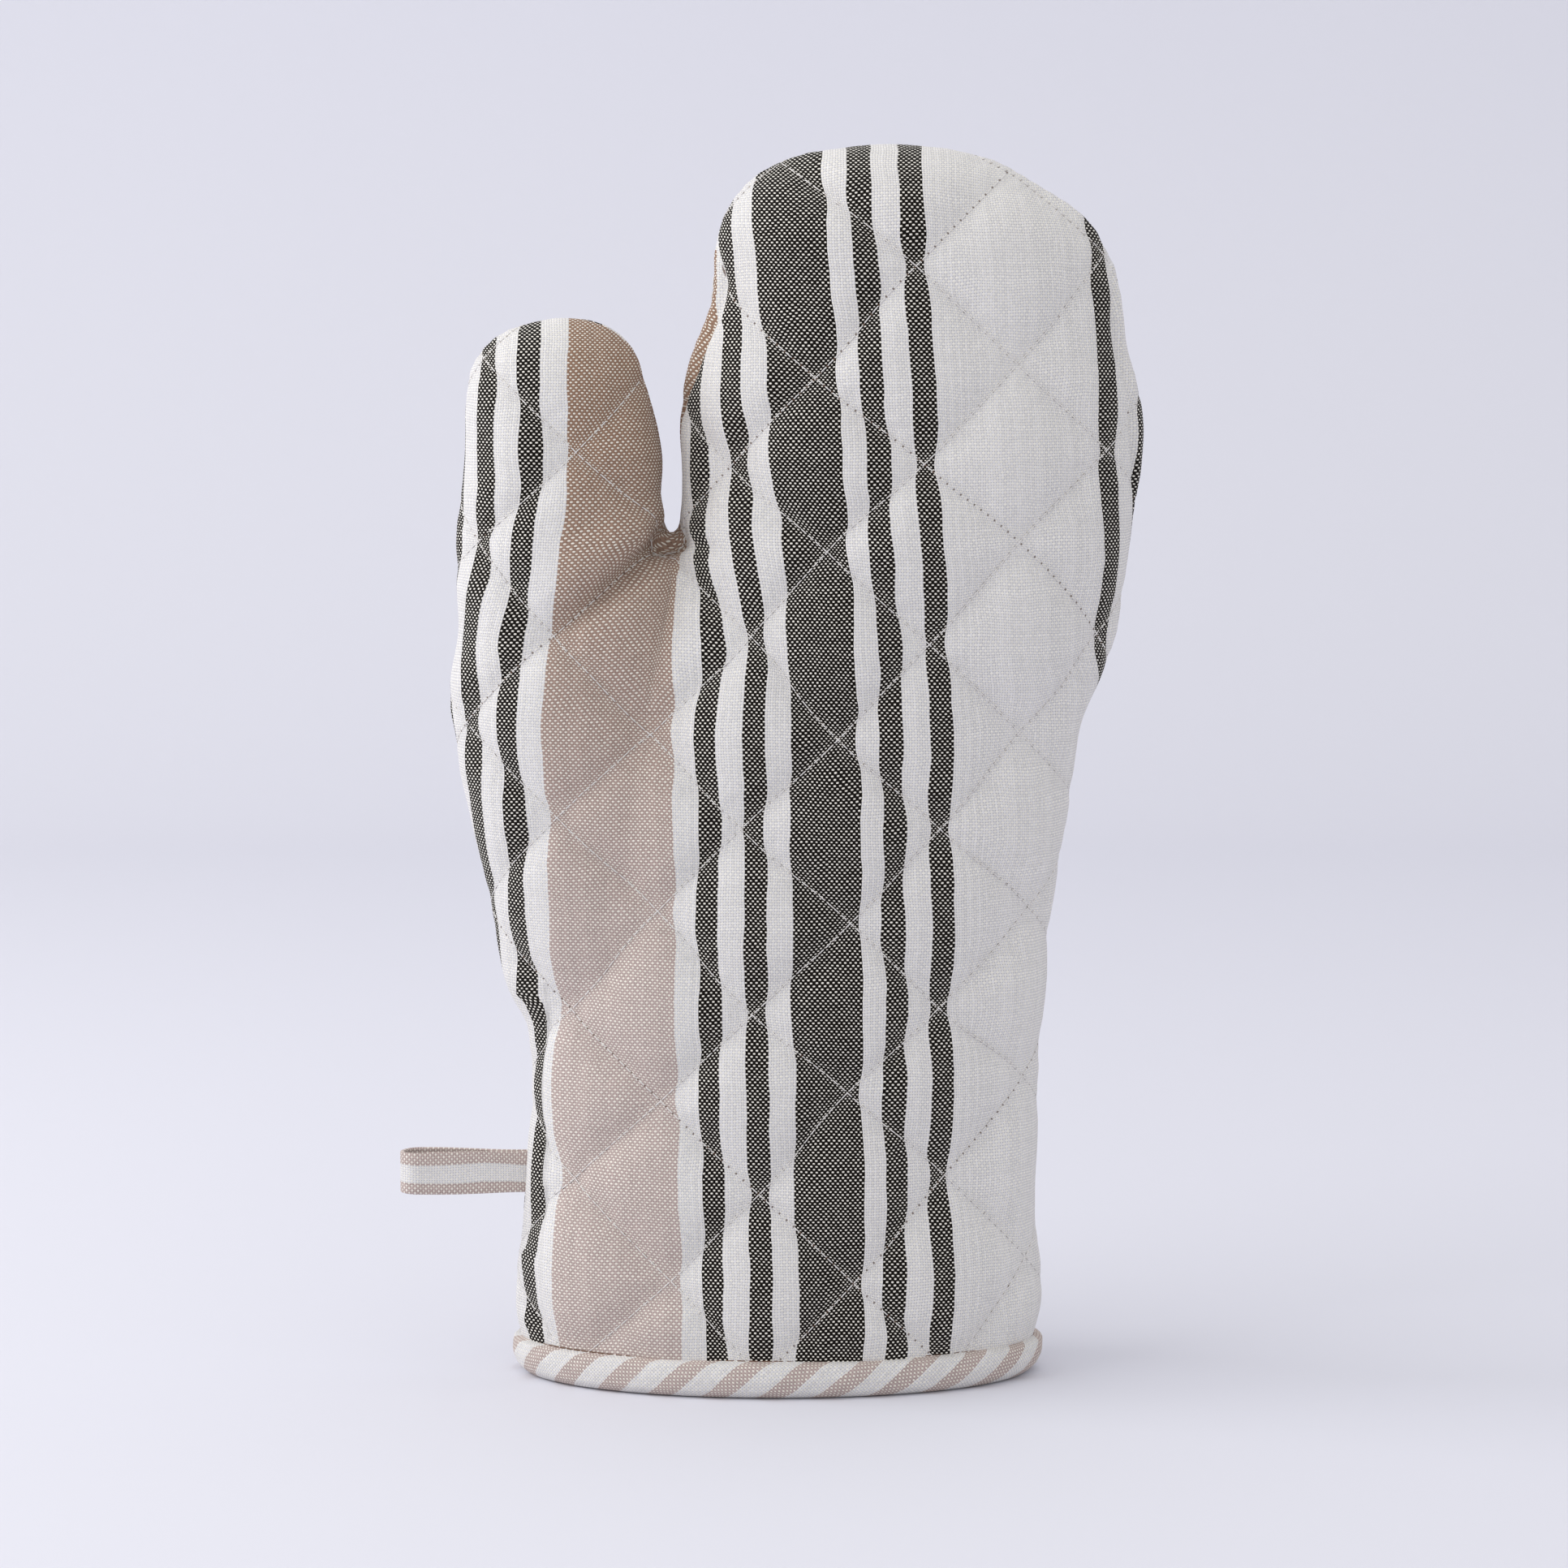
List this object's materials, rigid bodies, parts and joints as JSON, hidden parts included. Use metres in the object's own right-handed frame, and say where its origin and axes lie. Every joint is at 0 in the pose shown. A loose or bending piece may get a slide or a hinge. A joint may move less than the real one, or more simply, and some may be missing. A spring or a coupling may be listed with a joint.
{
  "type": "oven mitt",
  "caption": "Quilted cotton oven mitt with a padded hand and thumb, an open bound cuff and a hanging loop.",
  "frame": {"origin": "middle of the bounding box at the cuff's foot, the surface the mitt stands on; it is also the middle of the cuff", "axes": "+Z from the cuff to the fingertips, +X from the thumb side to the little-finger side, -Y the front face"},
  "size_m": [0.1909, 0.0792, 0.3194],
  "materials": {
    "striped_cloth": "plain weave cotton with taupe, dark brown and white warp stripes",
    "wadding": "soft fibre wadding",
    "lining_cloth": "plain weave cotton",
    "white_thread": "spun sewing thread",
    "brown_thread": "spun sewing thread",
    "binding_cloth": "the striped cotton cut on the bias",
    "loop_tape": "folded striped cotton"
  },
  "bodies": {
    "mitt": {"front_outer_cloth": "striped_cloth", "back_outer_cloth": "striped_cloth", "front_wadding": "wadding", "back_wadding": "wadding", "front_lining": "lining_cloth", "back_lining": "lining_cloth", "front_quilting_thread": "white_thread", "back_quilting_thread": "white_thread", "front_bobbin_thread": "white_thread", "back_bobbin_thread": "white_thread", "side_seam_thread": "white_thread", "cuff_binding": "binding_cloth", "binding_stitch_thread": "brown_thread"},
    "loop": {"hanging_loop": "loop_tape"}
  },
  "joints": [
    {"name": "loop_swing", "type": "hinge", "parent": "mitt", "child": "loop", "pos_m": [-0.0664, 0, 0.0523], "axis": [0, 0, 1], "range_deg": [-75, 75]}
  ]
}
